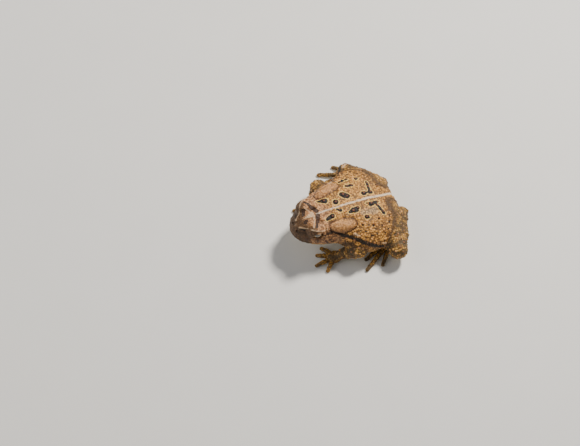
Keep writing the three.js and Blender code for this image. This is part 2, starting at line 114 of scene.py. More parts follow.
# Limbs.
ARM = {
    "shoulder": (5.5, 11.0, 15.0),
    "elbow": {"left": (2.4, 22.2, 10.6), "right": (6.6, 20.0, 11.0)},
    "wrist": {"left": (11.8, 18.2, 4.2), "right": (12.6, 15.6, 4.2)},
    "palm": {"left": (14.4, 17.4, 2.0), "right": (14.6, 14.2, 2.0)},
    "hand_turn": {"left": 0, "right": 16},
}
LEG = {
    "hip": (-20.0, 8.0, 9.6),
    "knee": {"left": (-18.0, 30.8, 8.6), "right": (-11.4, 22.8, 9.2)},
    "heel": {"left": (-29.6, 10.4, 5.8), "right": (-27.0, 10.4, 5.8)},
    "ankle": (-19.5, 19.6, 2.7),
    "sole": (-15.6, 22.0, 1.8),
}
FINGERS = [
    ((15.2, 15.0), (18.6, 9.4), 1.35),
    ((16.8, 15.9), (22.6, 12.2), 1.25),
    ((17.4, 17.6), (25.4, 17.6), 1.25),
    ((16.4, 19.2), (21.2, 23.0), 1.2),
]
TOES = [
    ((-13.4, 19.4), (-9.0, 17.8), 1.2),
    ((-12.4, 20.8), (-4.8, 21.4), 1.25),
    ((-12.0, 22.6), (-0.9, 25.8), 1.3),
    ((-12.6, 24.4), (1.2, 31.6), 1.3),
    ((-14.8, 25.4), (-7.8, 32.4), 1.25),
]
# Heights of a digit's root, knuckle and tip, and its girth at the last two as shares of that at the root.
DIGIT = {"heights": (1.7, 1.9, 0.85), "knuckle_at": 0.45, "shares": (0.86, 0.72)}
# The radii at the two ends of the limbs' parts, and the rounded masses on them with their turns.
GIRTH = {
    "upper_arm": (5.4, 3.9),
    "forearm": (4.8, 2.5),
    "thigh": (8, 5.1),
    "shank": (4.1, 3.4),
    "foot": (2.6, 2.5),
}
MASS = {"palm": (4, 3.5, 2.3), "calf": (4.8, 4.8, 4.5), "sole": (5, 4.3, 2.2)}
MASS_YAW = {"palm": -15, "sole": 30}

# The depth over which each part runs into what it grows from, and how round the lids' openings are.
MERGE = {"upper_arm": 2.6, "forearm": 1.2, "hand": 1.2, "thigh": 4.5, "shank": 1.4, "foot": 1.2}
MERGE |= {"digit": 0.7, "head": 5, "parotoid": 1.1}
OPENING_ROUND = 0.35
LID_OVERLAP = 0.08


# Forms: each is a distance function over an array of points, with the box that holds it.
class Form:
    def __init__(self, distance, lo, hi):
        self.distance = distance
        self.lo = np.array(lo, float)
        self.hi = np.array(hi, float)


def turn(yaw, pitch):
    """Rotation by pitch about Y and then by yaw about Z, in degrees."""
    y, p = math.radians(yaw), math.radians(pitch)
    about_z = np.array([[math.cos(y), -math.sin(y), 0], [math.sin(y), math.cos(y), 0], [0, 0, 1]])
    about_y = np.array([[math.cos(p), 0, math.sin(p)], [0, 1, 0], [-math.sin(p), 0, math.cos(p)]])
    return about_z @ about_y


def egg(centre, radii, yaw=0, pitch=0):
    centre = np.array(centre, np.float32)
    radii = np.array(radii, np.float32)
    frame = turn(yaw, pitch).astype(np.float32)

    def distance(p):
        local = (p - centre) @ frame
        near = np.linalg.norm(local / radii, axis=1)
        slope = np.linalg.norm(local / radii**2, axis=1)
        return near * (near - 1) / np.maximum(slope, 1e-6)

    return Form(distance, centre - radii.max(), centre + radii.max())


def rod(start, end, start_radius, end_radius):
    start = np.array(start, np.float32)
    axis = np.array(end, np.float32) - start
    reach = max(start_radius, end_radius)

    def distance(p):
        away = p - start
        share = np.clip(away @ axis / (axis @ axis), 0, 1)
        gone = np.linalg.norm(away - share[:, None] * axis, axis=1)
        return gone - (start_radius + (end_radius - start_radius) * share)

    return Form(distance, np.minimum(start, end) - reach, np.maximum(start, end) + reach)


def smooth_least(a, b, depth):
    h = np.maximum(depth - np.abs(a - b), 0) / depth
    return np.minimum(a, b) - h * h * depth * 0.25


def smooth_most(a, b, depth):
    return -smooth_least(-a, -b, depth)


def smooth_step(low, high, value):
    t = np.clip((value - low) / (high - low), 0, 1)
    return t * t * (3 - 2 * t)


def blend(depth, *forms):
    def distance(p):
        d = forms[0].distance(p)
        for other in forms[1:]:
            d = smooth_least(d, other.distance(p), depth)
        return d

    lo = np.min([f.lo for f in forms], axis=0)
    hi = np.max([f.hi for f in forms], axis=0)
    return Form(distance, lo, hi)


def on_side(side, point):
    return (point[0], SIDES[side] * point[1], point[2])


def both_sides(make):
    return [make(side) for side in SIDES]


# The toad's forms.
def torso_form():
    flank_y = BODY_HALF - 12.9
    return blend(
        5,
        egg((6, 0, 16.4), (13, 13.5, 10.2), 0, -3),
        egg((-6, LOLL, BELLY_Z + 0.3), (17, BODY_HALF - 0.6, BELLY_Z - 0.2), 0, -9),
        egg((-18, LOLL / 2, 8.6), (10.8, 15, 8.2), 0, -6),
        *both_sides(lambda side: egg(on_side(side, (4.5, 7, 17.4)), (10, 9.5, 7.6))),
        *both_sides(lambda side: egg((-9, LOLL + SIDES[side] * flank_y, 10.8), (15, 12.6, 9.8), 0, -6)),
    )


def mouth_z(x):
    share = np.clip((x - MOUTH["angle_x"]) / (SNOUT_X - MOUTH["angle_x"]), 0, 1)
    return MOUTH["angle_z"] + (MOUTH["snout_z"] - MOUTH["angle_z"]) * share**1.6


def crest_form(side):
    front, inner, outer, snout = (on_side(side, CREST[k]) for k in ("front", "inner", "outer", "snout"))
    return blend(
        0.5,
        rod(front, inner, 0.7, CREST["radius"]),
        rod(inner, outer, CREST["radius"], 0.85),
        rod(front, snout, 0.75, 0.6),
    )


def head_form():
    skull = blend(
        3,
        egg((15, 0, 19), (13.5, HEAD_HALF - 0.6, HEAD_HEIGHT - 19.4)),
        egg((22, 0, 18.7), (SNOUT_X - 22, 9.4, 5.4)),
        egg((22.5, 0, 22.2), (7.2, 6.2, 3.9), 0, 14),
        *both_sides(lambda side: egg(on_side(side, (14, 6.8, 18.2)), (10.5, 6.3, 5.4))),
        egg((14.5, 0, 16), (13.6, HEAD_HALF - 0.9, 5.6)),
        egg((21.6, 0, 16.4), (SNOUT_X - 22, 9, 3.9)),
        egg((12.5, 0, 12.8), (10, 11.2, 6.2)),
    )
    lids = both_sides(lambda side: egg(on_side(side, LID["centre"]), LID["radii"]))
    covered = blend(0.9, blend(1.3, skull, *lids), *both_sides(crest_form))

    def distance(p):
        lip = LIP["swell"] * np.exp(-(((p[:, 2] - mouth_z(p[:, 0])) / LIP["height"]) ** 2))
        return covered.distance(p) - lip

    return Form(distance, covered.lo, covered.hi)


def gland_form(side):
    return egg(on_side(side, GLAND["centre"]), GLAND["radii"], -SIDES[side] * GLAND["yaw"], GLAND["pitch"])


def on_hand(side, root, tip, girth):
    """A finger of the left hand moved to the side's own palm and turned inward with it."""
    turned = turn(-ARM["hand_turn"][side], 0)[:2, :2]
    home, palm = (np.array(ARM["palm"][s][:2]) for s in ("left", side))
    return (*(tuple(turned @ (np.array(end) - home) + palm) for end in (root, tip)), girth)


def digit_form(side, root, tip, girth):
    knuckle = [r + DIGIT["knuckle_at"] * (t - r) for r, t in zip(root, tip)]
    a, b, c = (on_side(side, (*place, z)) for place, z in zip((root, knuckle, tip), DIGIT["heights"]))
    middle, last = (girth * share for share in DIGIT["shares"])
    return blend(0.4, rod(a, b, girth, middle), rod(b, c, middle, last))


def limb_forms(side):
    """Each limb part with the depth over which it runs into what it grows from."""
    shoulder = on_side(side, ARM["shoulder"])
    hip, ankle, sole = (on_side(side, LEG[joint]) for joint in ("hip", "ankle", "sole"))
    elbow, wrist, palm = (on_side(side, ARM[joint][side]) for joint in ("elbow", "wrist", "palm"))
    knee, heel = (on_side(side, LEG[joint][side]) for joint in ("knee", "heel"))
    calf = tuple(k + 0.4 * (h - k) for k, h in zip(knee, heel))
    sole_mass = egg(sole, MASS["sole"], SIDES[side] * MASS_YAW["sole"])
    forms = {
        "upper_arm": rod(shoulder, elbow, *GIRTH["upper_arm"]),
        "forearm": rod(elbow, wrist, *GIRTH["forearm"]),
        "hand": egg(palm, MASS["palm"], SIDES[side] * MASS_YAW["palm"]),
        "thigh": rod(hip, knee, *GIRTH["thigh"]),
        "shank": blend(2, rod(knee, heel, *GIRTH["shank"]), egg(calf, MASS["calf"])),
        "foot": blend(1.5, rod(heel, ankle, *GIRTH["foot"]), sole_mass),
    }
    for i, finger in enumerate(FINGERS):
        forms[f"finger_{i + 1}"] = digit_form(side, *on_hand(side, *finger))
    for i, toe in enumerate(TOES):
        forms[f"toe_{i + 1}"] = digit_form(side, *toe)
    return {f"{name}_{side}": (form, MERGE.get(name, MERGE["digit"])) for name, form in forms.items()}


def opening_form(side):
    turned = SIDES[side] * LID_OPENING["yaw"]
    return egg(on_side(side, LID_OPENING["centre"]), LID_OPENING["radii"], turned)


TORSO = torso_form()
JOINED = {"head": (head_form(), MERGE["head"])}
for _side in SIDES:
    JOINED[f"parotoid_{_side}"] = (gland_form(_side), MERGE["parotoid"])
    JOINED.update(limb_forms(_side))
OPENINGS = both_sides(opening_form)
EYEBALLS = both_sides(lambda side: egg(on_side(side, EYE), (EYE_RADIUS,) * 3))
LIMB_PARTS = [name for name in JOINED if not name.startswith(("head", "parotoid"))]
PAWS = [name for name in LIMB_PARTS if name.startswith(("hand", "finger", "toe"))]


def within(form, p, margin):
    return np.all((p > form.lo - margin) & (p < form.hi + margin), axis=1)


def body_distance(p):
    """Signed distance from the toad's smooth skin, before anything is raised on it."""
    d = TORSO.distance(p)
    for form, depth in JOINED.values():
        near = within(form, p, depth + 1)
        d[near] = smooth_least(d[near], form.distance(p[near]), depth)
    for form in OPENINGS:
        near = within(form, p, 1)
        d[near] = smooth_most(d[near], -form.distance(p[near]), OPENING_ROUND)
    for form in EYEBALLS:
        near = within(form, p, 1)
        d[near] = np.maximum(d[near], -form.distance(p[near]) - LID_OVERLAP)
    return np.maximum(d, -p[:, 2])


def in_pieces(function, p, size=400_000):
    return np.concatenate([function(p[i : i + size]) for i in range(0, len(p), size)])


# The skin's surface, found on a fine grid near where a coarse one says that it passes.
def sampled_field(lo, hi):
    coarse = CELL * BLOCK
    count = np.ceil((hi - lo) / coarse).astype(int)
    steps = np.argwhere(np.ones(count, bool))
    far = in_pieces(body_distance, (lo + (steps + 0.5) * coarse).astype(np.float32))
    field = far.reshape(count)
    for axis in range(3):
        field = np.repeat(field, BLOCK, axis)
    blocks = steps[np.abs(far) < coarse * HALF_DIAGONAL + BLOCK_SPARE]
    inner = np.argwhere(np.ones((BLOCK,) * 3, bool))
    for part in np.array_split(blocks, max(1, len(blocks) // 3000)):
        cells = (part[:, None, :] * BLOCK + inner).reshape(-1, 3)
        values = body_distance((lo + cells * CELL).astype(np.float32))
        field[cells[:, 0], cells[:, 1], cells[:, 2]] = values
    return field


def surface(field, lo):
    """One vertex in each cell that the surface crosses, and a quad around each grid edge that it crosses."""
    inside = field < 0
    shape = tuple(n - 1 for n in field.shape)
    corners = list(itertools.product((0, 1), repeat=3))

    def shifted(values, corner):
        return values[tuple(slice(c, c + n) for c, n in zip(corner, shape))]

    held = sum(shifted(inside, corner).astype(np.uint8) for corner in corners)
    cells = np.argwhere((held > 0) & (held < 8))
    value = np.stack([field[tuple((cells + corner).T)] for corner in corners], 1)
    total = np.zeros((len(cells), 3))
    crossings = np.zeros(len(cells))
    for (i, a), (j, b) in itertools.combinations(enumerate(corners), 2):
        if sum(abs(m - n) for m, n in zip(a, b)) != 1:
            continue
        cut = (value[:, i] < 0) != (value[:, j] < 0)
        share = value[cut, i] / (value[cut, i] - value[cut, j])
        total[cut] += np.array(a) + share[:, None] * (np.array(b) - np.array(a))
        crossings[cut] += 1
    vertices = lo + (cells + total / crossings[:, None]) * CELL
    index = np.full(shape, -1, np.int32)
    index[tuple(cells.T)] = np.arange(len(cells))

    faces = []
    near = inside[tuple(slice(1, n) for n in shape)]
    for axis in range(3):
        ahead, side, other = np.roll(np.eye(3, dtype=int), -axis, axis=0)
        beyond = inside[tuple(slice(1 + a, n + a) for a, n in zip(ahead, shape))]
        edges = np.argwhere(near != beyond) + 1
        steps = (side + other, other, 0 * side, side)
        ring = np.stack([index[tuple((edges - step).T)] for step in steps], 1)
        outward = inside[tuple(edges.T)]
        faces.append(np.where(outward[:, None], ring, ring[:, ::-1]))
    return vertices, np.concatenate(faces)


def facing(p, step=0.04):
    """The way that the smooth skin faces at each point."""
    slopes = []
    for axis in np.eye(3, dtype=np.float32):
        ahead = in_pieces(body_distance, (p + step * axis).astype(np.float32))
        behind = in_pieces(body_distance, (p - step * axis).astype(np.float32))
        slopes.append(ahead - behind)
    slope = np.stack(slopes, 1)
    return slope / np.maximum(np.linalg.norm(slope, axis=1, keepdims=True), 1e-9)


# How many steps a landing takes, and the share of the distance left that each one goes.
LANDING = {"steps": 120, "share": 0.6}


def land(starts, ways):
    """Where straight ways from outside first meet the skin."""
    p = np.array(starts, np.float32)
    ways = np.array(ways, np.float32)
    for _ in range(LANDING["steps"]):
        p = p + ways * (body_distance(p) * LANDING["share"])[:, None]
    return p


# Warts nearly as on the solids, though the flanks' row is up to 1.5 mm from theirs. The back's are places
# seen from above with radii, the row's ends are forward and up, and the limbs' are counts with radii.
BACK_WARTS = [
    (10.2, -5.4, 1.3), (4.7, -2.1, 1.3), (-1, -5, 1.5), (-2.7, -3.4, 1.1), (-12.3, -2.3, 1.2),
    (-16.2, -2.3, 1.2), (-16.9, -7.8, 1.1), (-5.5, -9.7, 1.1), (-8.1, -9.3, 1.1), (-3.4, -13.9, 1.1),
    (-7.2, -14.2, 1.1), (9.9, 4.9, 1.2), (5, 3.1, 1), (-2, 6, 1.5), (-5.2, 5, 1.1), (-13.5, 4.8, 1.3),
    (-17.8, 11, 1.1), (-7.8, 11.5, 1.2), (-4.1, 14.3, 1.1), (-9.6, 16.4, 1.1), (-13.9, 13.9, 1),
    (-21.6, 5.4, 1.1), (-21.4, -5, 1.1), (-12.4, -12.6, 1.1),
]
FLANK_ROW = {"count": 8, "from": (2.4, 21.2), "to": (-12.4, 13.2), "radius": 1.05}
LIMB_WARTS = {"thigh": (6, 1.0), "shank": (6, 0.95), "forearm": (5, 0.85)}
LIMB_WART_ANGLES = (35, 73)
LIMB_CLEAR = 30
# A wart's height, reach, tip and ring where granules come back, as shares of its radius, and its rounding.
WART = {"rise": 0.52, "rounding": 0.8, "reach": 2.4, "tip": 0.5, "clear": (0.8, 1.5)}

# Granules between the warts, the pores of the glands, and the grain's value where the skin is even, between
# the painted shade of its valleys and the painted highlight of its tips.
# Their salts keep the scatterings apart.
LARGE_GRAIN = {"salt": 11, "spacing": 2.0, "radius": 0.55, "wider": 0.5, "height": 0.42}
SMALL_GRAIN = {"salt": 31, "spacing": 1.15, "radius": 0.62, "height": 0.17, "higher": 0.1}
FINE_GRAIN = {"salt": 43, "spacing": 0.62, "radius": 0.34, "height": 0.055}
PORES = {"salt": 57, "spacing": 1.3, "radius": 0.32, "wider": 0.1, "depth": 0.13}
BEAD = {"radius": 0.6, "above": 0.35}
BELLY_GRAIN = {"radius": 0.8, "height": 0.12}
EVEN_GRAIN = 0.38
# The share of the granules' height that each region takes away, and how even each makes the grain's painted
# shade and highlight.
LARGE_CALMED = {"head": 0.8, "gland": 0.9, "under": 1, "paw": 0.8}
SMALL_CALMED = {"gland": 0.45, "head": 0.3, "under": 0.6}
EVENED = {"gland": 0.55, "head": 0.15}

# The raised edge of the lids and snout, the rings of the nostrils and eardrums, and the line of the mouth.
RIDGE = {"half_line": 0.05, "width": 0.5, "height": 0.3}
NOSTRIL_RING = {"width": 0.35, "height": 0.2}
EAR_RING = {"width": 0.4, "height": 0.36, "sunk": 0.22, "edge": 0.6}
LIP_GAP = {"width": 0.28, "depth": 0.5}


def limb_ends(limb, side):
    ends = {
        "thigh": (LEG["hip"], LEG["knee"][side]),
        "shank": (LEG["knee"][side], LEG["heel"][side]),
        "forearm": (ARM["elbow"][side], ARM["wrist"][side]),
    }
    return [np.array(on_side(side, p)) for p in ends[limb]]


def large_warts():
    """Places and radii of the larger warts on the skin."""
    warts = [((x, y, OUTSIDE), (0, 0, -1), radius) for x, y, radius in BACK_WARTS]
    row = np.linspace(FLANK_ROW["from"], FLANK_ROW["to"], FLANK_ROW["count"])
    for side, sign in SIDES.items():
        warts += [((x, OUTSIDE * sign, z), (0, -sign, 0), FLANK_ROW["radius"]) for x, z in row]
        for limb, (count, radius) in LIMB_WARTS.items():
            root, end = limb_ends(limb, side)
            for i in range(count):
                angle = math.radians(LIMB_WART_ANGLES[i % 2])
                out = np.array((0, sign * math.cos(angle), math.sin(angle)))
                warts.append((root + (i + 0.5) / count * (end - root) + LIMB_CLEAR * out, -out, radius))
    starts, ways, radii = zip(*warts)
    return land(starts, ways), np.array(radii)


# Marks: each is a streak between two places seen from above, with its half width at either end.
BACK_SPOTS = [
    ((13.8, -6.8), (9.9, -5.2), 0.35, 1.45), ((4.9, -2.1), (4.6, -2.0), 1.35, 1.35),
    ((-0.7, -4.9), (-2.6, -3.5), 1.7, 1.55), ((-12.0, -2.1), (-12.7, -2.1), 1.05, 1.15),
    ((-15.6, -2.0), (-16.4, -2.0), 1.0, 1.15), ((-16.2, -3.2), (-16.9, -8.4), 0.7, 0.55),
    ((-12.6, -2.2), (-15.8, -2.2), 0.35, 0.35), ((-5.2, -9.8), (-8.3, -9.2), 0.75, 0.65),
    ((-2.8, -13.8), (-4.9, -14.2), 0.5, 0.8), ((-7, -14.2), (-7.4, -14.1), 0.6, 0.5),
    ((13.2, 5.2), (10.0, 4.9), 0.65, 1.15), ((6, 2.3), (4.4, 3.6), 0.45, 0.75),
    ((0.2, 6.2), (-2.4, 5.9), 0.55, 1.4), ((-2.4, 5.8), (-5.4, 5.1), 1.35, 0.75),
    ((-2.6, 6.8), (-4.4, 6.6), 0.7, 0.6), ((-12.9, 5.3), (-14, 5.2), 1.25, 1.1),
    ((-13.8, 4.7), (-17.6, 4.6), 0.6, 0.45), ((-15.9, 5.6), (-17.7, 12), 0.6, 0.75),
    ((-12.2, 4.7), (-11.2, 4.2), 0.5, 0.35), ((-7.6, 11.6), (-8.1, 11.8), 1.05, 0.95),
    ((-12.4, -12.6), (-12.9, -12.9), 0.8, 0.6),
]
HEAD_BARS = [
    ((20.6, -8.8), (16.4, -1.5), 0.55, 1.15), ((17, 1.2), (18.4, 4), 1.2, 0.95),
    ((18.4, 4), (20.8, 8), 0.95, 0.5), ((22.9, -4.9), (24, -2.7), 1.0, 0.7),
    ((24, 1.3), (24.5, 1.8), 1.05, 1.0), ((28.2, 3.2), (26.8, 4.8), 0.3, 0.45),
    ((28.2, -3.6), (27.2, -5), 0.3, 0.45),
]
# Pale lines of the head: the fork between the eyes, and a faint line to the snout.
PALE_LINES = [
    ((19, 0.4), (20.4, 4.2), 0.5, 0.35), ((20.4, 4.2), (22.2, 7.4), 0.35, 0.3),
    ((18.9, -1), (21.8, -5.6), 0.55, 0.3), ((20.2, -0.6), (22.4, -0.7), 1.2, 0.6),
    ((22.4, -0.7), (30, -0.5), 0.45, 0.25),
]
# The pale raised edge of each lid and of the snout, as places on the left seen from above.
LID_EDGE = [(28.6, 2.3), (25.3, 4.8), (23.4, 8.2), (21.4, 9.9), (18.2, 10.6), (15.6, 10.4)]
# Small dark dots of the flanks and hind back, which have no rims. Each runs a little way back, narrowing.
FLANK_DOTS = [
    (-3.8, 15), (-9, 17.2), (-13.5, 18.5), (-4.1, 18.7), (-9.4, 21.6), (-9.5, 19.2), (-14, 22), (-18.4, 17.6),
    (-13.6, 14.7), (-20.1, 14), (-6.7, 16.2), (-11.4, 20.2), (-16.4, 20.6), (-6.4, 21.6), (-1.6, 17.2),
    (-21.8, 5.5), (-21.4, -5.1), (-9.6, -17.6), (-5, -17), (-14.6, -16), (-18.2, -13.4), (-1.2, -16.4),
    (-12.2, -19.4), (-7.6, -20),
]
DOT = {"length": 0.3, "half_width": 0.6, "tail_half_width": 0.4}
# Streaks on the sides of the head, as points with half widths, given for the left side.
LIP_BARS = [
    ((22.2, 12.4, 20.6), (23, 13, 17.4), 0.9, 0.8), ((27, 8.6, 20.6), (27.8, 9.2, 17.6), 0.8, 0.7),
    ((30.6, 3.6, 20), (31.2, 4.2, 18), 0.6, 0.5), ((17.6, 13.4, 19.4), (16.6, 14.2, 15.6), 0.8, 0.7),
    ((26, 10, 15.6), (25, 9.6, 14), 0.7, 0.5), ((20, 12.6, 14.6), (19, 12.2, 12.8), 0.8, 0.6),
]
# The dark band behind the eye and down the flank: how far forward, how high, and its half width there.
FLANK_BAND = [
    (17.6, 23.2, 0.4), (13.2, 24.0, 0.65), (10.8, 23.2, 0.8), (8.4, 21.4, 0.9), (3.8, 19.6, 1.1),
    (-0.9, 18.0, 1.1), (-4.9, 15.9, 1.1), (-9.2, 12.4, 0.9), (-11.8, 10.2, 0.6),
]
# Painted shade in the hollow between the nostril and the eye.
SNOUT_SHADE = [(30.4, 21.4, 0.45), (28.2, 22.6, 0.6), (25.8, 23.6, 0.8)]
# The pale line along the flank's row of warts, with its half widths in front and behind.
ROW_LINE = [(*FLANK_ROW["from"], 0.5), (*FLANK_ROW["to"], 0.4)]
PALE_PATCH = ((-7.2, 8.4), (-13.6, 9.4), 1.6, 1.9)
STRIPE = {"front": 17.4, "back": -29.5, "half_width": (0.28, 0.6), "swing": 1.15}
# How far round a streak's box its distance is worked out.
STREAK_REACH = 6


def landed(places):
    places = np.array([(x, y, OUTSIDE) for x, y in places])
    return land(places, np.tile((0, 0, -1), (len(places), 1)))


def landed_from_side(side, places):
    starts = np.array([(x, OUTSIDE * SIDES[side], z) for x, z in places])
    return land(starts, np.tile((0, -SIDES[side], 0), (len(places), 1)))


def least_streak(p, streaks):
    """Distance to the nearest of several streaks, each two ends with their half widths."""
    d = np.full(len(p), FAR, np.float32)
    for start, end, start_half, end_half in streaks:
        near = np.all(np.abs(p - (start + end) / 2) < np.abs(end - start) / 2 + STREAK_REACH, axis=1)
        d[near] = np.minimum(d[near], rod(start, end, start_half, end_half).distance(p[near]))
    return d


def top_marks(p, marks):
    ends = landed([place for mark in marks for place in mark[:2]]).reshape(-1, 2, 3)
    return least_streak(p, [(a, b, *mark[2:]) for (a, b), mark in zip(ends, marks)])


def dots(p, places):
    streaks = [((x, y), (x - DOT["length"], y), DOT["half_width"], DOT["tail_half_width"]) for x, y in places]
    return top_marks(p, streaks)


def side_marks(p, marks):
    """Distance to the nearest of several streaks given for the left side, and mirrored on the right."""
    streaks = []
    for side in SIDES:
        for start, end, *halves in marks:
            streaks.append((np.array(on_side(side, start)), np.array(on_side(side, end)), *halves))
    return least_streak(p, streaks)


def side_path(p, path):
    """Distance to a line along each side, given as places seen from the side with half widths."""
    streaks = []
    for side in SIDES:
        places = landed_from_side(side, [point[:2] for point in path])
        halves = [point[2] for point in path]
        streaks += list(zip(places, places[1:], halves, halves[1:]))
    return least_streak(p, streaks)


def top_path(p, path, half_width):
    """Distance to a line on either half of the head, given as places on the left seen from above."""
    streaks = []
    for sign in SIDES.values():
        places = landed([(x, sign * y) for x, y in path])
        streaks += [(a, b, half_width, half_width) for a, b in zip(places, places[1:])]
    return least_streak(p, streaks)


def stripe_distance(p):
    """The line down the back, which swings to the left over the lolling belly."""
    share = np.clip((STRIPE["front"] - p[:, 0]) / (STRIPE["front"] - STRIPE["back"]), 0, 1)
    narrow, wide = STRIPE["half_width"]
    middle = STRIPE["swing"] * smooth_step(0, 0.3, share) * smooth_step(1, 0.86, share)
    d = np.abs(p[:, 1] - middle) - (narrow + (wide - narrow) * share)
    beyond = np.maximum(p[:, 0] - STRIPE["front"], STRIPE["back"] - p[:, 0])
    return np.maximum(d, beyond)


# Dark bands across the limbs, as shares of each limb part's length with their half widths.
LIMB_BARS = {
    "forearm": ((0.3, 0.9), (0.68, 0.9)),
    "thigh": ((0.42, 1.3), (0.68, 1.1), (0.93, 1.2)),
    "shank": ((0.16, 1.2), (0.46, 1.2), (0.78, 1.2)),
    "foot": ((0.35, 1.0), (0.75, 1.0)),
}


def bar_distance(p):
    d = np.full(len(p), FAR, np.float32)
    for side in SIDES:
        ends = {limb: limb_ends(limb, side) for limb in LIMB_WARTS}
        ends["foot"] = [np.array(on_side(side, place)) for place in (LEG["heel"][side], LEG["ankle"])]
        for limb, bars in LIMB_BARS.items():
            form = JOINED[f"{limb}_{side}"][0]
            root, end = ends[limb]
            length = np.linalg.norm(end - root)
            on_limb = np.zeros(len(p), bool)
            near = within(form, p, 1)
            on_limb[near] = form.distance(p[near]) < 0.5
            along = (p[on_limb] - root) @ (end - root) / length
            for share, half_width in bars:
                d[on_limb] = np.minimum(d[on_limb], np.abs(along - share * length) - half_width)
    return d


# Cells through space with one scattered point in each, kept this share of its width away from its faces.
POINT_INSET = 0.15
OWN_SALT = 7
PRIMES = (73856093, 19349663, 83492791, 2654435761, 1274126177)


def mixed(a, b, c, salt):
    """A number from 0 to 1 that looks random but is always the same for the same whole numbers."""
    h = (a * PRIMES[0]) ^ (b * PRIMES[1]) ^ (c * PRIMES[2]) ^ (salt * PRIMES[3])
    h = (h ^ (h >> 13)) * PRIMES[4]
    h = h ^ (h >> 16)
    return (h & 0xFFFFFF) / float(0x1000000)


def scattered(p, kind):
    """Distance to the nearest scattered point, and a number from 0 to 1 that belongs to that point."""
    salt, spacing = kind["salt"], kind["spacing"]
    base = np.floor(p / spacing).astype(np.int64)
    best = np.full(len(p), 1e9)
    own = np.zeros(len(p))
    for step in itertools.product((-1, 0, 1), repeat=3):
        cell = base + step
        i, j, k = cell.T
        jitter = np.stack([mixed(i, j, k, salt + n) for n in range(3)], 1)
        point = cell + POINT_INSET + (1 - 2 * POINT_INSET) * jitter
        gap = np.linalg.norm(p - point * spacing, axis=1)
        closer = gap < best
        best = np.where(closer, gap, best)
        own = np.where(closer, mixed(i, j, k, salt + OWN_SALT), own)
    return best, own


def dome(distance, radius):
    return np.clip(1 - (distance / radius) ** 2, 0, 1)


def bell(distance, width):
    """1 where the distance is none, and less the further away, as a smooth bell."""
    return np.exp(-((distance / width) ** 2))


def warts(p):
    """Height of the larger warts, how much of a wart's tip each point is, and how clear of warts it is."""
    height = np.zeros(len(p))
    tip = np.zeros(len(p))
    clear = np.ones(len(p))
    for place, radius in zip(*large_warts()):
        near = np.all(np.abs(p - place) < WART["reach"] * radius, axis=1)
        gap = np.linalg.norm(p[near] - place, axis=1)
        rise = WART["rise"] * radius * dome(gap, radius) ** WART["rounding"]
        inner, outer = (share * radius for share in WART["clear"])
        height[near] = np.maximum(height[near], rise)
        tip[near] = np.maximum(tip[near], dome(gap, WART["tip"] * radius))
        clear[near] = np.minimum(clear[near], smooth_step(inner, outer, gap))
    return height, tip, clear


def regions(p, normal):
    """Distance from the glands as "groove", and how much each point is on each region of the skin."""
    glands = np.min([JOINED[f"parotoid_{side}"][0].distance(p) for side in SIDES], axis=0)
    ahead = smooth_step(7, 11, p[:, 0])
    return {
        "head": smooth_step(7, 13, p[:, 0]) * smooth_step(-1, 2, p[:, 2] - mouth_z(p[:, 0])),
        "groove": glands,
        "gland": smooth_step(0.7, -0.3, glands),
        "under": smooth_step(-0.1, -0.6, normal[:, 2]),
        "face": ahead * smooth_step(0.6, 0.25, normal[:, 2]) * smooth_step(24, 22.6, p[:, 2]),
    }


def paw_share(p):
    """1 on the hands, fingers and toes, and 0 a little way from them."""
    return smooth_step(0.8, 0.1, np.min([JOINED[name][0].distance(p) for name in PAWS], axis=0))


def calmed(clear, on, shares):
    for region, share in shares.items():
        clear = clear * (1 - share * on[region])
    return clear


def granules(p, on, clear):
    """Height of three sizes of granules, their pink beads, and how near their tips each point is."""
    rough = calmed(clear, on | {"paw": paw_share(p)}, LARGE_CALMED)
    calm = calmed(clear, on, SMALL_CALMED)

    gap, own = scattered(p, LARGE_GRAIN)
    large = dome(gap, LARGE_GRAIN["radius"] + LARGE_GRAIN["wider"] * own) * rough
    height = LARGE_GRAIN["height"] * (0.45 + own) * large
    bead = dome(gap, BEAD["radius"]) * rough * (own > BEAD["above"])
    gap, own = scattered(p, SMALL_GRAIN)
    small = dome(gap, SMALL_GRAIN["radius"])
    height += (SMALL_GRAIN["height"] + SMALL_GRAIN["higher"] * own) * small * calm
    gap, own = scattered(p, FINE_GRAIN)
    height += FINE_GRAIN["height"] * dome(gap, FINE_GRAIN["radius"])

    grain = np.maximum(large, small * (0.55 + 0.45 * own))
    even = np.max([share * on[region] for region, share in EVENED.items()], axis=0)
    return height, bead, grain * (1 - even) + EVEN_GRAIN * even


def pores(p, on):
    """Height of the belly's low granules, less the depth of the glands' pores."""
    gap, own = scattered(p, PORES)
    sunk = PORES["depth"] * dome(gap, PORES["radius"] + PORES["wider"] * own) * on["gland"]
    return BELLY_GRAIN["height"] * dome(gap, BELLY_GRAIN["radius"]) * on["under"] - sunk


def raised_skin(p, normal):
    """How far the skin is raised at each point as "rise", with the marks that go with its relief."""
    height, tip, clear = warts(p)
    on = regions(p, normal)
    grain_height, bead, grain = granules(p, on, clear)
    height += grain_height + pores(p, on)
    height -= GROOVE["depth"] * bell(on["groove"] - GROOVE["out"], GROOVE["width"]) * (1 - on["under"])
    ridge = top_path(p, LID_EDGE, RIDGE["half_line"])
    height += RIDGE["height"] * bell(ridge, RIDGE["width"])
    height -= hollows(p)
    height -= LIP_GAP["depth"] * bell(mouth_line(p), LIP_GAP["width"])
    return on | {
        "rise": height,
        "tip": tip,
        "bead": bead,
        "grain": grain,
        "groove": np.clip(on["groove"], -FAR, FAR),
        "lid_edge": ridge,
    }


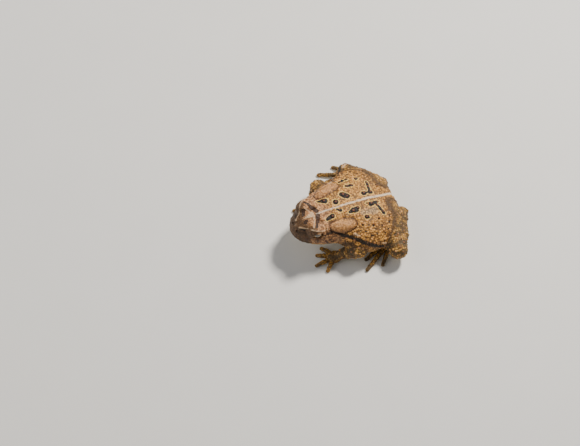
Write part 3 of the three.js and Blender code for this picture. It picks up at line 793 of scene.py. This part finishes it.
def hollows(p):
    """Depth of the nostrils, which open forward, and of the eardrums, both with raised rings."""
    depth = np.zeros(len(p))
    for side, sign in SIDES.items():
        pit = land([(OUTSIDE, sign * NOSTRIL["y"], NOSTRIL["z"])], [(-1, 0, 0)])[0]
        away = np.linalg.norm(p - pit, axis=1)
        depth += NOSTRIL["depth"] * bell(away, NOSTRIL["radius"])
        depth -= NOSTRIL_RING["height"] * bell(away - 2 * NOSTRIL["radius"], NOSTRIL_RING["width"])
        drum = landed_from_side(side, [(EAR["x"], EAR["z"])])[0]
        away = np.linalg.norm(p - drum, axis=1)
        depth -= EAR_RING["height"] * bell(away - EAR["radius"], EAR_RING["width"])
        depth += EAR_RING["sunk"] * smooth_step(EAR["radius"], EAR["radius"] - EAR_RING["edge"], away)
    return depth


def mouth_line(p):
    """Distance above or below the line where the lips meet, and large away from it."""
    away = p[:, 2] - mouth_z(p[:, 0])
    behind = np.maximum(MOUTH["angle_x"] + 2 - p[:, 0], 0)
    return np.sign(away) * (np.abs(away) + behind * 2)


def near_eyes(p):
    return np.min([form.distance(p) for form in EYEBALLS], axis=0)


def limb_share(p):
    """1 on the limbs and 0 on the body, with a soft change where they join."""
    limbs = np.min([JOINED[name][0].distance(p) for name in LIMB_PARTS], axis=0)
    return smooth_step(-1.5, 1.5, TORSO.distance(p) - limbs)


def creases(p):
    """How deep each point lies in a crease between the limbs' parts or between them and the body, where shade
    is painted.
    """
    first = TORSO.distance(p)
    second = np.full(len(p), FAR, np.float32)
    for name in LIMB_PARTS:
        form = JOINED[name][0]
        near = within(form, p, 3)
        d = form.distance(p[near])
        second[near] = np.minimum(second[near], np.maximum(first[near], d))
        first[near] = np.minimum(first[near], d)
    return smooth_step(1.3, 0.1, second - first) * smooth_step(0.05, 0.4, first)


def pattern(p, normal, eye_gap):
    """How far each point is from each kind of mark, and how much it is low, on a limb or in a crease."""
    return {
        "spot": top_marks(p, BACK_SPOTS),
        "dot": dots(p, FLANK_DOTS),
        "head_bar": top_marks(p, HEAD_BARS),
        "lip_bar": side_marks(p, LIP_BARS),
        "limb_bar": bar_distance(p),
        "band_and_snout_shade": np.minimum(side_path(p, FLANK_BAND), side_path(p, SNOUT_SHADE)),
        "pale": top_marks(p, [PALE_PATCH]),
        "pale_line": top_marks(p, PALE_LINES),
        "stripe": np.where(normal[:, 2] > 0.1, stripe_distance(p), FAR),
        "row": side_path(p, ROW_LINE),
        "eye_gap": np.minimum(eye_gap, FAR),
        "mouth": np.clip(np.abs(mouth_line(p)), 0, FAR),
        "low": smooth_step(16, 7, p[:, 2]),
        "limb": limb_share(p),
        "crease_shade": creases(p),
    }


def build_skin(offset):
    forms = [TORSO] + [form for form, _ in JOINED.values()]
    lo = np.array((*np.min([form.lo[:2] for form in forms], axis=0), 0)) - GRID_MARGIN
    hi = np.max([form.hi for form in forms], axis=0) + GRID_MARGIN
    vertices, faces = surface(sampled_field(lo, hi), lo)
    p = vertices.astype(np.float32)
    normal = facing(p)
    marks = raised_skin(p, normal)
    eye_gap = near_eyes(p)
    marks["rise"] *= smooth_step(0.1, 0.9, eye_gap)
    flat = smooth_step(0.02, 0.5, p[:, 2])
    raised = vertices + normal * (marks["rise"] * flat)[:, None]
    raised[:, 2] = np.maximum(raised[:, 2], 0)

    mesh = bpy.data.meshes.new("skin")
    mesh.from_pydata(((raised + offset) * MM).tolist(), [], faces.tolist())
    mesh.polygons.foreach_set("use_smooth", np.ones(len(mesh.polygons), bool))
    marks |= pattern(p, normal, eye_gap)
    for name, values in marks.items():
        layer = mesh.attributes.new(name, "FLOAT", "POINT")
        layer.data.foreach_set("value", np.asarray(values, np.float32))
    mesh.update()
    skin = bpy.data.objects.new("toad_skin", mesh)
    bpy.context.scene.collection.objects.link(skin)
    return skin


# Materials.
class Nodes:
    """Short names for adding and linking the nodes of one material."""

    def __init__(self, name):
        self.material = bpy.data.materials.new(name)
        self.material.use_nodes = True
        self.tree = self.material.node_tree
        self.shader = self.tree.nodes["Principled BSDF"]
        self.place = self.add("ShaderNodeTexCoord").outputs["Object"]

    def add(self, kind, **settings):
        node = self.tree.nodes.new(kind)
        for key, value in settings.items():
            setattr(node, key, value)
        return node

    def link(self, source, target):
        self.tree.links.new(source, target)

    def attribute(self, name):
        return self.add("ShaderNodeAttribute", attribute_name=name).outputs["Fac"]

    def math(self, operation, a, b=0.0):
        node = self.add("ShaderNodeMath", operation=operation)
        for socket, value in zip(node.inputs, (a, b)):
            self.put(value, socket)
        return node.outputs[0]

    def put(self, value, socket):
        if isinstance(value, bpy.types.NodeSocket):
            self.link(value, socket)
        else:
            socket.default_value = value

    def noise(self, scale, detail=3.0, roughness=0.55):
        node = self.add("ShaderNodeTexNoise")
        node.inputs["Scale"].default_value = scale
        node.inputs["Detail"].default_value = detail
        node.inputs["Roughness"].default_value = roughness
        self.link(self.place, node.inputs["Vector"])
        return node.outputs["Fac"]

    def cells(self, scale):
        node = self.add("ShaderNodeTexVoronoi", feature="F1")
        node.inputs["Scale"].default_value = scale
        self.link(self.place, node.inputs["Vector"])
        return node.outputs["Distance"]

    def between(self, value, low, high, most=1.0):
        """0 below low and the most above high, or the other way round where low is the greater."""
        node = self.add("ShaderNodeMapRange", interpolation_type="SMOOTHSTEP")
        settings = (low, high, 0.0, most) if low < high else (high, low, most, 0.0)
        self.put(value, node.inputs["Value"])
        for socket, number in zip(("From Min", "From Max", "To Min", "To Max"), settings):
            node.inputs[socket].default_value = number
        return node.outputs["Result"]

    def mix(self, share, a, b):
        node = self.add("ShaderNodeMix", data_type="RGBA")
        self.put(share, node.inputs[0])
        self.put(a, node.inputs[6])
        self.put(b, node.inputs[7])
        return node.outputs[2]


def srgb(red, green, blue):
    """A colour given as 0 to 255 on a screen, as the light values that a shader takes."""
    def linear(value):
        value /= 255
        return value / 12.92 if value <= 0.04045 else ((value + 0.055) / 1.055) ** 2.4

    return (linear(red), linear(green), linear(blue), 1.0)


BACK = srgb(158, 104, 34)
BACK_LIGHT = srgb(214, 152, 66)
# A dark for random speckle and for painted shade in the grain's valleys and the creases, and a painted
# highlight for the granules' tips.
DARK_SPECKLE_AND_SHADE = srgb(66, 42, 12)
GRAIN_TIP_HIGHLIGHT = srgb(238, 190, 122)
BEAD_PINK = srgb(204, 122, 78)
# Brown of the head's steep sides: their mottling, and painted shade.
FACE_MOTTLE_AND_SHADE = srgb(96, 60, 24)
FLANK = srgb(136, 96, 32)
PINK = srgb(216, 160, 112)
PINK_DARK = srgb(158, 102, 58)
GLAND_COLOUR = srgb(184, 130, 78)
LIMB = srgb(166, 122, 44)
BELLY = srgb(214, 198, 160)
DARK = srgb(14, 7, 3)
DARK_BROWN = srgb(66, 36, 14)
OLIVE_DARK = srgb(66, 50, 22)
RIM = srgb(244, 200, 104)
STRIPE_COLOUR = srgb(222, 200, 174)
WART_BROWN = srgb(140, 72, 38)
ROW_COLOUR = srgb(222, 190, 152)
PALE = srgb(196, 170, 132)


class Marks:
    """The stored marks of the skin, with edges that wander a little way about their true place."""

    def __init__(self, n):
        self.n = n
        wander = n.math("MULTIPLY", n.math("SUBTRACT", n.noise(420, 4), 0.5), 1.5)
        fine = n.math("MULTIPLY", n.math("SUBTRACT", n.noise(1500, 2), 0.5), 0.9)
        self.ragged = n.math("ADD", wander, fine)

    def edge(self, name, low, high, wander=1.0, strength=1.0):
        n = self.n
        value = n.math("ADD", n.attribute(name), n.math("MULTIPLY", self.ragged, wander))
        return n.math("MULTIPLY", n.between(value, low, high), strength)

    def plain(self, name, strength=1.0):
        return self.n.math("MULTIPLY", self.n.attribute(name), strength)


def ground_colour(n, marks):
    """The skin between its marks: olive brown, pinkish on the head and glands, golden on the limbs."""
    colour = n.mix(n.between(n.noise(230, 5, 0.6), 0.35, 0.68), BACK, BACK_LIGHT)
    colour = n.mix(marks.plain("low", 0.75), colour, FLANK)
    colour = n.mix(marks.plain("limb", 0.8), colour, LIMB)
    pink = n.mix(n.between(n.noise(600, 4), 0.36, 0.62), PINK_DARK, PINK)
    colour = n.mix(marks.plain("head", 0.9), colour, pink)
    gland = n.mix(n.between(n.noise(500, 4), 0.4, 0.6), GLAND_COLOUR, pink)
    colour = n.mix(marks.plain("gland", 0.85), colour, gland)
    # Brown mottling on the steep sides of the head, which also stands as painted shade there.
    face = n.math("MULTIPLY", n.between(n.noise(420, 4, 0.6), 0.46, 0.6), marks.plain("face", 0.5))
    colour = n.mix(face, colour, FACE_MOTTLE_AND_SHADE)
    colour = n.mix(marks.edge("pale", 1.2, -0.8, 1.6, 0.6), colour, PALE)
    colour = n.mix(n.between(n.noise(1100, 3, 0.7), 0.54, 0.66, 0.6), colour, DARK_SPECKLE_AND_SHADE)
    # Painted shade in the valleys between the granules, and a painted highlight on their tips.
    colour = n.mix(n.between(n.attribute("grain"), 0.32, 0.0, 0.75), colour, DARK_SPECKLE_AND_SHADE)
    colour = n.mix(n.between(n.attribute("grain"), 0.45, 0.95, 0.7), colour, GRAIN_TIP_HIGHLIGHT)
    blotch = n.math("MULTIPLY", n.between(n.noise(200, 4, 0.6), 0.49, 0.56), marks.plain("limb", 0.8))
    return n.mix(blotch, colour, OLIVE_DARK)


def spot_colour(n, marks, colour):
    """Black-edged brown spots in thin broken yellow rims, over the ground colour."""
    rim = n.math("MULTIPLY", marks.edge("spot", 0.85, 0.55, 0.6), n.between(n.noise(900, 2), 0.33, 0.46))
    colour = n.mix(n.math("MULTIPLY", rim, 0.9), colour, RIM)
    inside = n.mix(n.between(n.noise(1300, 3), 0.55, 0.7), DARK, DARK_BROWN)
    return n.mix(marks.edge("spot", 0.4, 0.15, 0.6), colour, inside)


def head_colour(n, marks, colour):
    """The head's bars, pale ridges and pale lines, the dark line of the mouth, and painted shade round the
    eyes and in the groove round the glands.
    """
    colour = n.mix(marks.edge("pale_line", 0.3, -0.3, 0.6, 0.7), colour, ROW_COLOUR)
    colour = n.mix(marks.edge("head_bar", 0.25, -0.05, 0.7, 0.92), colour, DARK)
    colour = n.mix(marks.edge("head_bar", -0.25, -0.5, 0.7, 0.8), colour, DARK_BROWN)
    colour = n.mix(marks.edge("lid_edge", 0.5, 0.05, 0.45, 0.6), colour, ROW_COLOUR)
    colour = n.mix(marks.edge("lip_bar", 0.3, -0.2, 1.3, 0.85), colour, DARK_BROWN)
    # Painted shadow in the groove round the glands.
    from_groove = n.math("ABSOLUTE", n.math("SUBTRACT", n.attribute("groove"), GROOVE["out"]))
    colour = n.mix(n.between(from_groove, 0.4, 0.05, 0.7), colour, DARK_BROWN)
    colour = n.mix(n.between(n.attribute("mouth"), 0.45, 0.1), colour, DARK)
    # Painted shade where the lids meet the eyeballs.
    return n.mix(n.between(n.attribute("eye_gap"), 0.5, 0.15, 0.9), colour, DARK)


def skin_colour(n):
    marks = Marks(n)
    colour = spot_colour(n, marks, ground_colour(n, marks))
    colour = n.mix(marks.edge("limb_bar", 0.4, -0.4, 1.8, 0.8), colour, OLIVE_DARK)
    # The dark band behind the eye and down the flank, and painted shade in the hollow from nostril to eye.
    colour = n.mix(marks.edge("band_and_snout_shade", 0.45, -0.2, 1.2, 0.92), colour, DARK)
    colour = n.mix(marks.edge("row", 0.4, -0.1, 0.9, 0.8), colour, ROW_COLOUR)
    colour = n.mix(marks.edge("stripe", 0.3, -0.1, 0.8, 0.9), colour, STRIPE_COLOUR)
    colour = n.mix(marks.edge("dot", 0.3, -0.1, 0.9, 0.85), colour, DARK)
    colour = n.mix(marks.plain("bead", 0.6), colour, BEAD_PINK)
    colour = n.mix(marks.plain("tip", 0.7), colour, WART_BROWN)
    # Painted shade in the creases between the limbs' parts and the body.
    colour = n.mix(marks.plain("crease_shade", 0.85), colour, DARK_SPECKLE_AND_SHADE)
    colour = head_colour(n, marks, colour)
    belly_spot = n.between(n.noise(330, 3), 0.58, 0.64, 0.75)
    belly = n.mix(belly_spot, BELLY, DARK_BROWN)
    ragged_under = n.math("ADD", n.attribute("under"), n.math("MULTIPLY", marks.ragged, 0.35))
    colour = n.mix(n.between(ragged_under, 0.35, 0.8), colour, belly)
    # Painted shade in the sunk places of the skin, such as the nostrils, the eardrums, the line of the lips
    # and the groove round the glands.
    return n.mix(n.between(n.attribute("rise"), -0.05, -0.3, 0.5), colour, DARK_BROWN)


def skin_material():
    n = Nodes("toad_skin")
    n.link(skin_colour(n), n.shader.inputs["Base Color"])
    rough = n.math("ADD", n.math("MULTIPLY", n.noise(800, 3), 0.3), 0.4)
    n.link(rough, n.shader.inputs["Roughness"])
    n.shader.inputs["Subsurface Weight"].default_value = 0.06
    n.shader.inputs["Subsurface Radius"].default_value = (0.0012, 0.0006, 0.0003)
    n.shader.inputs["Subsurface Scale"].default_value = 1.0
    n.shader.inputs["Specular IOR Level"].default_value = 0.45
    pebbles = n.between(n.cells(2600), 0.75, 0.1, 0.6)
    creases = n.math("MULTIPLY", n.noise(1300, 5, 0.65), 0.8)
    bump = n.add("ShaderNodeBump")
    bump.inputs["Strength"].default_value = 0.7
    bump.inputs["Distance"].default_value = 0.0002
    n.link(n.math("ADD", pebbles, creases), bump.inputs["Height"])
    n.link(bump.outputs["Normal"], n.shader.inputs["Normal"])
    return n.material


# The way the left eye looks, the iris as shares of the ball's radius, and the bulge of the ball's front.
EYE_AXIS = (0.34, 0.9, 0.28)
IRIS = {"pupil": (0.46, 0.2), "edge": 0.78}
BULGE = {"from": 0.6, "height": 0.03}
PUPIL_BLACK = srgb(4, 3, 3)
IRIS_BROWN = srgb(46, 26, 8)
IRIS_GOLD = srgb(186, 132, 40)
IRIS_RING = srgb(226, 180, 84)
IRIS_EDGE = srgb(24, 14, 8)


def eye_material():
    """Gold iris round a level pupil, in the eyeball's own space with its axis along +Z, in its radii."""
    n = Nodes("toad_eye")
    apart = n.add("ShaderNodeSeparateXYZ")
    n.link(n.place, apart.inputs[0])
    x, y = (n.math("DIVIDE", apart.outputs[axis], EYE_RADIUS * MM) for axis in "XY")

    def radius(width, height):
        u = n.math("POWER", n.math("ABSOLUTE", n.math("DIVIDE", x, width)), 2.0)
        v = n.math("POWER", n.math("ABSOLUTE", n.math("DIVIDE", y, height)), 2.0)
        return n.math("SQRT", n.math("ADD", u, v))

    flecks = n.between(n.noise(3800, 6, 0.75), 0.42, 0.62)
    gold = n.mix(flecks, IRIS_BROWN, IRIS_GOLD)
    rim = n.between(radius(*IRIS["pupil"]), 1.0, 1.25)
    gold = n.mix(n.between(radius(*IRIS["pupil"]), 1.45, 1.15), gold, IRIS_RING)
    colour = n.mix(rim, PUPIL_BLACK, gold)
    colour = n.mix(n.between(radius(IRIS["edge"], IRIS["edge"]), 0.92, 1.05), colour, IRIS_EDGE)
    n.link(colour, n.shader.inputs["Base Color"])
    n.shader.inputs["Roughness"].default_value = 0.12
    n.shader.inputs["Coat Weight"].default_value = 1.0
    n.shader.inputs["Coat Roughness"].default_value = 0.02
    return n.material


def build_eye(side, offset, material):
    """A ball with a slightly bulged front, its axis turned the way the eye looks."""
    bpy.ops.mesh.primitive_uv_sphere_add(segments=96, ring_count=64, radius=EYE_RADIUS * MM)
    eye = bpy.context.active_object
    eye.name = f"eyeball_{side}"
    eye.data.name = eye.name
    for vertex in eye.data.vertices:
        front = max(0.0, vertex.co.z / (EYE_RADIUS * MM) - BULGE["from"]) / (1 - BULGE["from"])
        vertex.co *= 1 + BULGE["height"] * front * (2 - front)
    eye.data.polygons.foreach_set("use_smooth", [True] * len(eye.data.polygons))
    look = Vector(on_side(side, EYE_AXIS)).normalized()
    level = look.cross(Vector((0, 0, 1))).normalized()
    turned = Matrix((level, level.cross(look), look)).transposed().to_4x4()
    turned.translation = (np.array(on_side(side, EYE)) + offset) * MM
    eye.matrix_world = turned
    eye.data.materials.append(material)
    return eye


# Studio, in metres. The photograph's origin is the pixel where the modelling frame's own origin shows.
CAMERA = {"around": 65.0, "above": 66.0, "distance": 3.0, "pixels_per_mm": 118 / SNOUT_TO_VENT}
PHOTO = {"width": 580, "height": 446, "origin": (344.7, 222.0)}
SENSOR_MM = 36
FLOOR_HALF = 3.0
FLOOR_GREYS = ((0.74, 0.73, 0.71, 1), (0.78, 0.77, 0.75, 1))
KEY = {"size": 0.16, "power": 17.0, "colour": (1.0, 0.95, 0.87)}
FILL = {"size": 0.8, "power": 3.2, "colour": (1.0, 0.97, 0.92)}
SKY = {"colour": (0.9, 0.93, 1.0, 1), "strength": 0.2}


def add_camera(offset):
    """The photograph's view: from the toad's front left and well above, the toad small in the frame."""
    a, e = math.radians(CAMERA["around"]), math.radians(CAMERA["above"])
    right = Vector((-math.sin(a), math.cos(a), 0))
    up = Vector((-math.cos(a) * math.sin(e), -math.sin(a) * math.sin(e), math.cos(e)))
    back = right.cross(up)
    scale = CAMERA["pixels_per_mm"]
    across = (PHOTO["width"] / 2 - PHOTO["origin"][0]) / scale
    upward = (PHOTO["origin"][1] - PHOTO["height"] / 2) / scale
    aim = (Vector(offset) + right * across + up * upward) * MM
    data = bpy.data.cameras.new("camera")
    data.sensor_width = SENSOR_MM
    data.lens = SENSOR_MM * CAMERA["distance"] / (PHOTO["width"] / scale * MM)
    data.clip_start = 0.01
    camera = bpy.data.objects.new("camera", data)
    camera.location = aim + back * CAMERA["distance"]
    camera.rotation_euler = back.to_track_quat("Z", "Y").to_euler()
    bpy.context.scene.collection.objects.link(camera)
    bpy.context.scene.camera = camera
    return right, up, aim


def add_light(name, place, aim, lamp):
    data = bpy.data.lights.new(name, "AREA")
    data.size = lamp["size"]
    data.energy = lamp["power"]
    data.color = lamp["colour"]
    light = bpy.data.objects.new(name, data)
    light.location = place
    light.rotation_euler = (place - aim).to_track_quat("Z", "Y").to_euler()
    bpy.context.scene.collection.objects.link(light)


def add_floor():
    mesh = bpy.data.meshes.new("floor")
    corners = [(x * FLOOR_HALF, y * FLOOR_HALF, 0) for x, y in ((-1, -1), (1, -1), (1, 1), (-1, 1))]
    mesh.from_pydata(corners, [], [(0, 1, 2, 3)])
    floor = bpy.data.objects.new("floor", mesh)
    bpy.context.scene.collection.objects.link(floor)
    n = Nodes("floor")
    n.link(n.mix(n.noise(30, 4), *FLOOR_GREYS), n.shader.inputs["Base Color"])
    n.shader.inputs["Roughness"].default_value = 0.8
    mesh.materials.append(n.material)


def add_studio(right, up, aim):
    """A pale floor, a key light from the view's upper right, a wide fill from its left, and a dim sky."""
    add_floor()
    high = Vector((0, 0, 1))
    add_light("key", aim + right * 0.45 + high * 0.6 + up * 0.5, aim, KEY)
    add_light("fill", aim - right * 0.7 + high * 0.5, aim, FILL)
    world = bpy.data.worlds.new("studio")
    world.use_nodes = True
    background = world.node_tree.nodes["Background"]
    background.inputs["Color"].default_value = SKY["colour"]
    background.inputs["Strength"].default_value = SKY["strength"]
    bpy.context.scene.world = world


def main():
    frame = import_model()
    low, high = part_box("eye_left")
    offset = np.array((low + high) / 2) / MM - np.array(on_side("left", EYE))

    add_studio(*add_camera(offset))
    skin = build_skin(offset)
    skin.data.materials.append(skin_material())
    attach(skin, "root")
    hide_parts(*[name for name in frame["nodes"] if not name.startswith("eye_")])

    eye_shade = eye_material()
    for side in SIDES:
        eye = build_eye(side, offset, eye_shade)
        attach(eye, "root")
        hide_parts(f"eye_{side}")


main()
